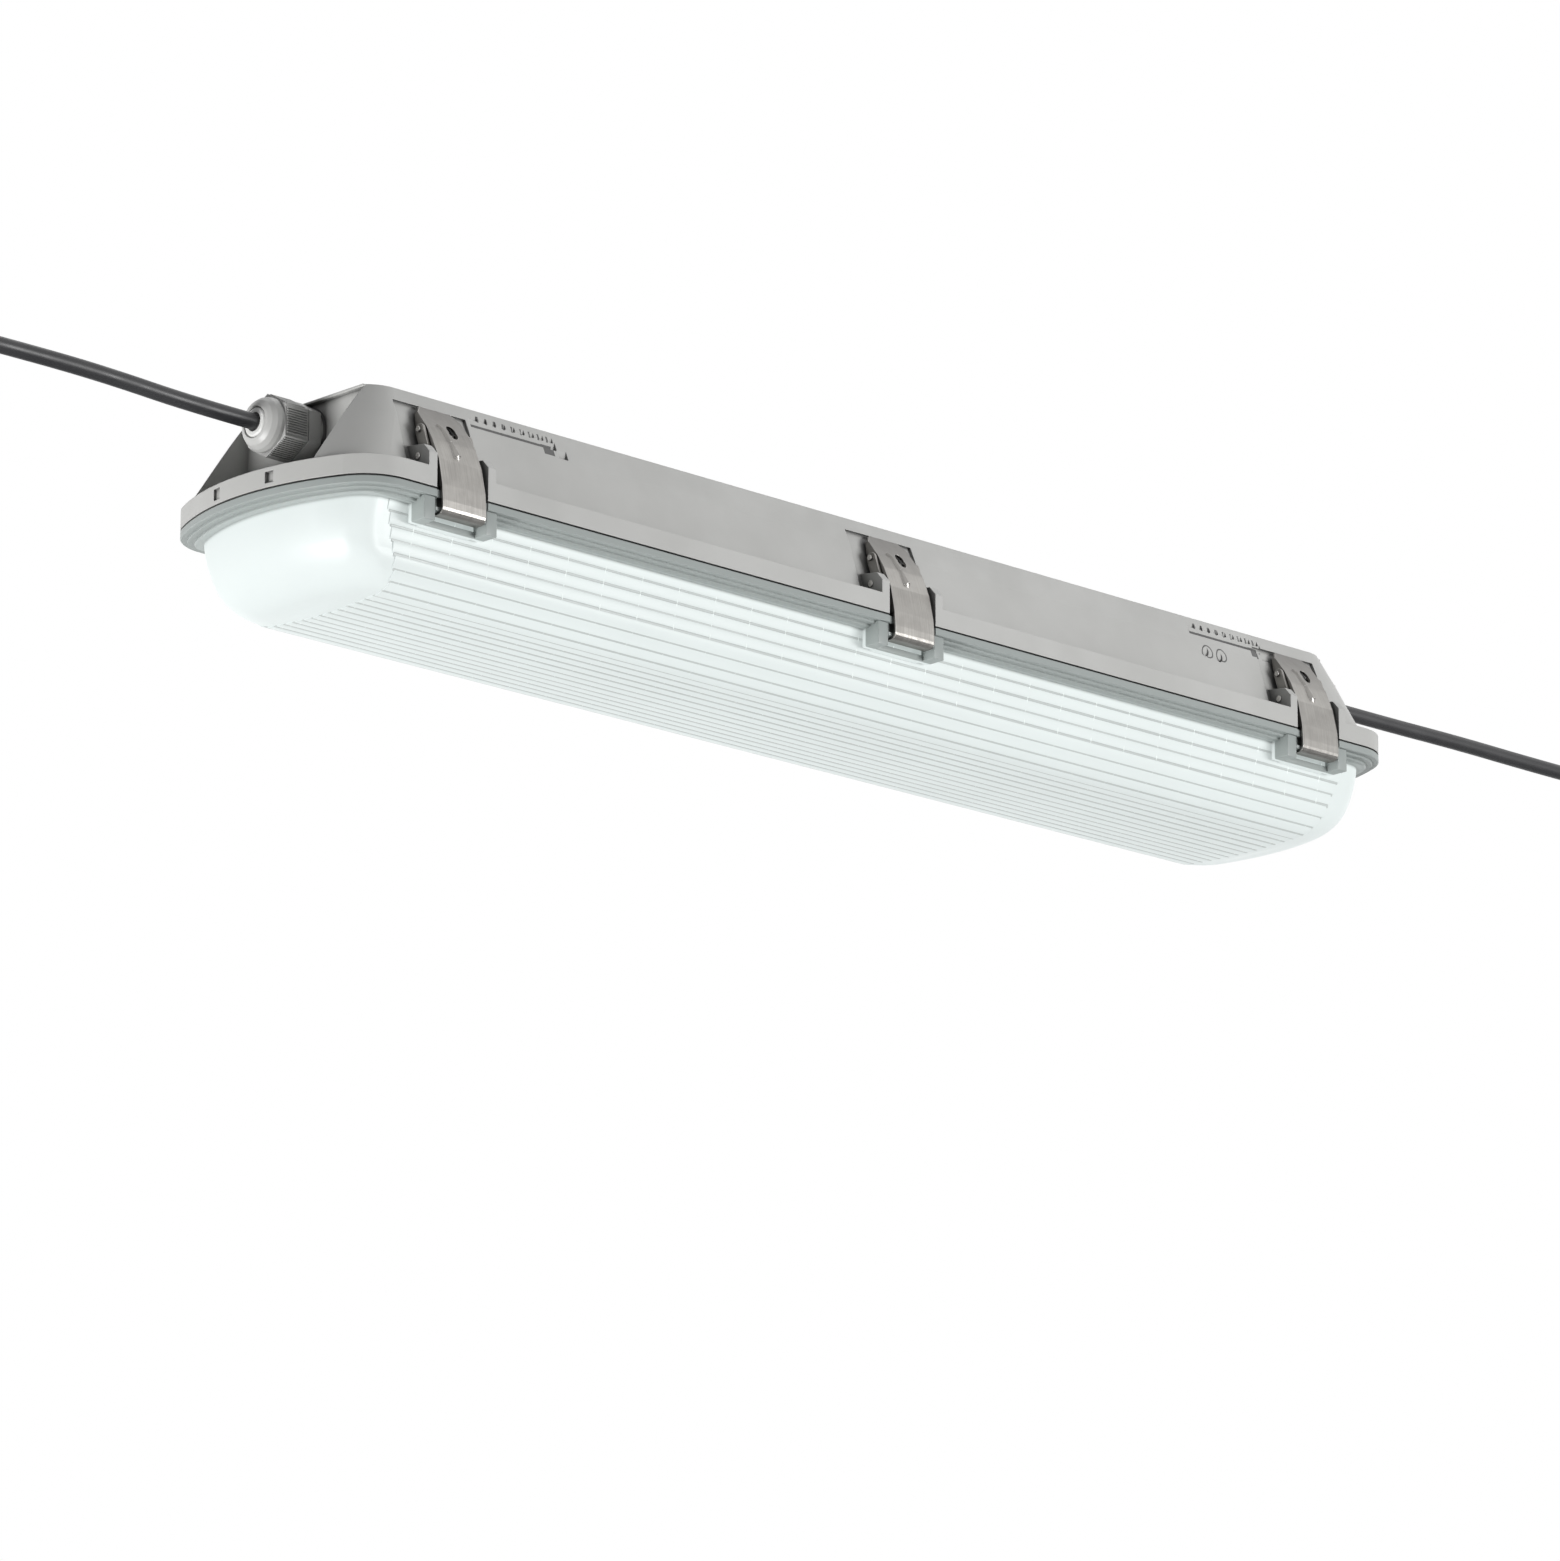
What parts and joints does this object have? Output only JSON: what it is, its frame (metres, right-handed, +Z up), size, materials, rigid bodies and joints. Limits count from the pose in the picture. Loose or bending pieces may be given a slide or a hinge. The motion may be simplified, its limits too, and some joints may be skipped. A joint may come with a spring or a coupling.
{
  "type": "weatherproof ceiling light",
  "caption": "Long weatherproof ceiling light: grey moulded tray, ribbed frosted lens held by steel toggle latches, and a cable through a gland at each end.",
  "frame": {"origin": "middle of the flat ceiling face of the tray", "axes": "+Z up into the ceiling, X along the light, the pictured long side and its latches at -Y, the input cable at -X"},
  "size_m": [1.0872, 0.1332, 0.0896],
  "materials": {
    "housing_grey": "fine-grained light grey moulding",
    "lens_frost": "frosted clear moulding with fine ribs, pale mint when lit",
    "seal_foam": "dark foamed seal",
    "latch_steel": "warm brushed stainless sheet",
    "pin_steel": "turned stainless",
    "gland_grey": "light grey moulded nylon",
    "gland_white": "white moulded nylon",
    "seal_rubber": "black rubber",
    "cable_black": "black sheath, slight sheen",
    "connector_black": "black moulded nylon",
    "tray_white": "white powder coat",
    "board_white": "white solder mask",
    "led_yellow": "yellow phosphor in clear resin",
    "driver_white": "white moulded case",
    "terminal_white": "white moulded block",
    "screw_steel": "zinc-plated steel"
  },
  "bodies": {
    "root": {"housing": "housing_grey", "gasket": "seal_foam", "lens": "lens_frost", "gear_tray": "tray_white", "led_board_left": "board_white", "led_board_right": "board_white", "led_chips": "led_yellow", "tray_screws": "screw_steel", "board_screws": "screw_steel", "driver_screws": "screw_steel", "driver": "driver_white", "terminal_block": "terminal_white", "terminal_screws": "screw_steel", "pivot_pins": "pin_steel", "left_gland_body": "gland_grey", "left_gland_nut": "gland_grey", "left_gland_seal": "seal_rubber", "left_gland_claw": "gland_white", "left_gland_washer": "seal_rubber", "left_gland_locknut": "gland_grey", "left_cable": "cable_black", "left_cable_inner": "cable_black", "left_connector": "connector_black", "left_connector_collar": "connector_black", "right_gland_body": "gland_grey", "right_gland_nut": "gland_grey", "right_gland_seal": "seal_rubber", "right_gland_claw": "gland_white", "right_gland_washer": "seal_rubber", "right_gland_locknut": "gland_grey", "right_cable": "cable_black", "right_cable_inner": "cable_black", "right_connector": "connector_black", "right_connector_collar": "connector_black"},
    "link_front_left": {"latch_link_front_left": "latch_steel", "latch_pin_front_left": "pin_steel"},
    "lever_front_left": {"latch_lever_front_left": "latch_steel"},
    "link_front_middle": {"latch_link_front_middle": "latch_steel", "latch_pin_front_middle": "pin_steel"},
    "lever_front_middle": {"latch_lever_front_middle": "latch_steel"},
    "link_front_right": {"latch_link_front_right": "latch_steel", "latch_pin_front_right": "pin_steel"},
    "lever_front_right": {"latch_lever_front_right": "latch_steel"},
    "link_rear_left": {"latch_link_rear_left": "latch_steel", "latch_pin_rear_left": "pin_steel"},
    "lever_rear_left": {"latch_lever_rear_left": "latch_steel"},
    "link_rear_middle": {"latch_link_rear_middle": "latch_steel", "latch_pin_rear_middle": "pin_steel"},
    "lever_rear_middle": {"latch_lever_rear_middle": "latch_steel"},
    "link_rear_right": {"latch_link_rear_right": "latch_steel", "latch_pin_rear_right": "pin_steel"},
    "lever_rear_right": {"latch_lever_rear_right": "latch_steel"}
  },
  "joints": [
    {"name": "latch_front_left", "type": "hinge", "parent": "root", "child": "link_front_left", "pos_m": [-0.2645, -0.058, -0.0334], "axis": [1, 0, 0], "range_deg": [0, 80]},
    {"name": "lever_front_left", "type": "hinge", "parent": "link_front_left", "child": "lever_front_left", "pos_m": [-0.2645, -0.053, -0.0194], "axis": [1, 0, 0], "range_deg": [-55, 0]},
    {"name": "latch_front_middle", "type": "hinge", "parent": "root", "child": "link_front_middle", "pos_m": [0, -0.058, -0.0334], "axis": [1, 0, 0], "range_deg": [0, 80]},
    {"name": "lever_front_middle", "type": "hinge", "parent": "link_front_middle", "child": "lever_front_middle", "pos_m": [0, -0.053, -0.0194], "axis": [1, 0, 0], "range_deg": [-55, 0]},
    {"name": "latch_front_right", "type": "hinge", "parent": "root", "child": "link_front_right", "pos_m": [0.2645, -0.058, -0.0334], "axis": [1, 0, 0], "range_deg": [0, 80]},
    {"name": "lever_front_right", "type": "hinge", "parent": "link_front_right", "child": "lever_front_right", "pos_m": [0.2645, -0.053, -0.0194], "axis": [1, 0, 0], "range_deg": [-55, 0]},
    {"name": "latch_rear_left", "type": "hinge", "parent": "root", "child": "link_rear_left", "pos_m": [-0.2645, 0.058, -0.0334], "axis": [-1, 0, 0], "range_deg": [0, 80]},
    {"name": "lever_rear_left", "type": "hinge", "parent": "link_rear_left", "child": "lever_rear_left", "pos_m": [-0.2645, 0.053, -0.0194], "axis": [-1, 0, 0], "range_deg": [-55, 0]},
    {"name": "latch_rear_middle", "type": "hinge", "parent": "root", "child": "link_rear_middle", "pos_m": [0, 0.058, -0.0334], "axis": [-1, 0, 0], "range_deg": [0, 80]},
    {"name": "lever_rear_middle", "type": "hinge", "parent": "link_rear_middle", "child": "lever_rear_middle", "pos_m": [0, 0.053, -0.0194], "axis": [-1, 0, 0], "range_deg": [-55, 0]},
    {"name": "latch_rear_right", "type": "hinge", "parent": "root", "child": "link_rear_right", "pos_m": [0.2645, 0.058, -0.0334], "axis": [-1, 0, 0], "range_deg": [0, 80]},
    {"name": "lever_rear_right", "type": "hinge", "parent": "link_rear_right", "child": "lever_rear_right", "pos_m": [0.2645, 0.053, -0.0194], "axis": [-1, 0, 0], "range_deg": [-55, 0]}
  ],
  "couplings": [
    {"joint": "lever_front_left", "follows": "latch_front_left", "ratio": -0.68},
    {"joint": "lever_front_middle", "follows": "latch_front_middle", "ratio": -0.68},
    {"joint": "lever_front_right", "follows": "latch_front_right", "ratio": -0.68},
    {"joint": "lever_rear_left", "follows": "latch_rear_left", "ratio": -0.68},
    {"joint": "lever_rear_middle", "follows": "latch_rear_middle", "ratio": -0.68},
    {"joint": "lever_rear_right", "follows": "latch_rear_right", "ratio": -0.68}
  ]
}
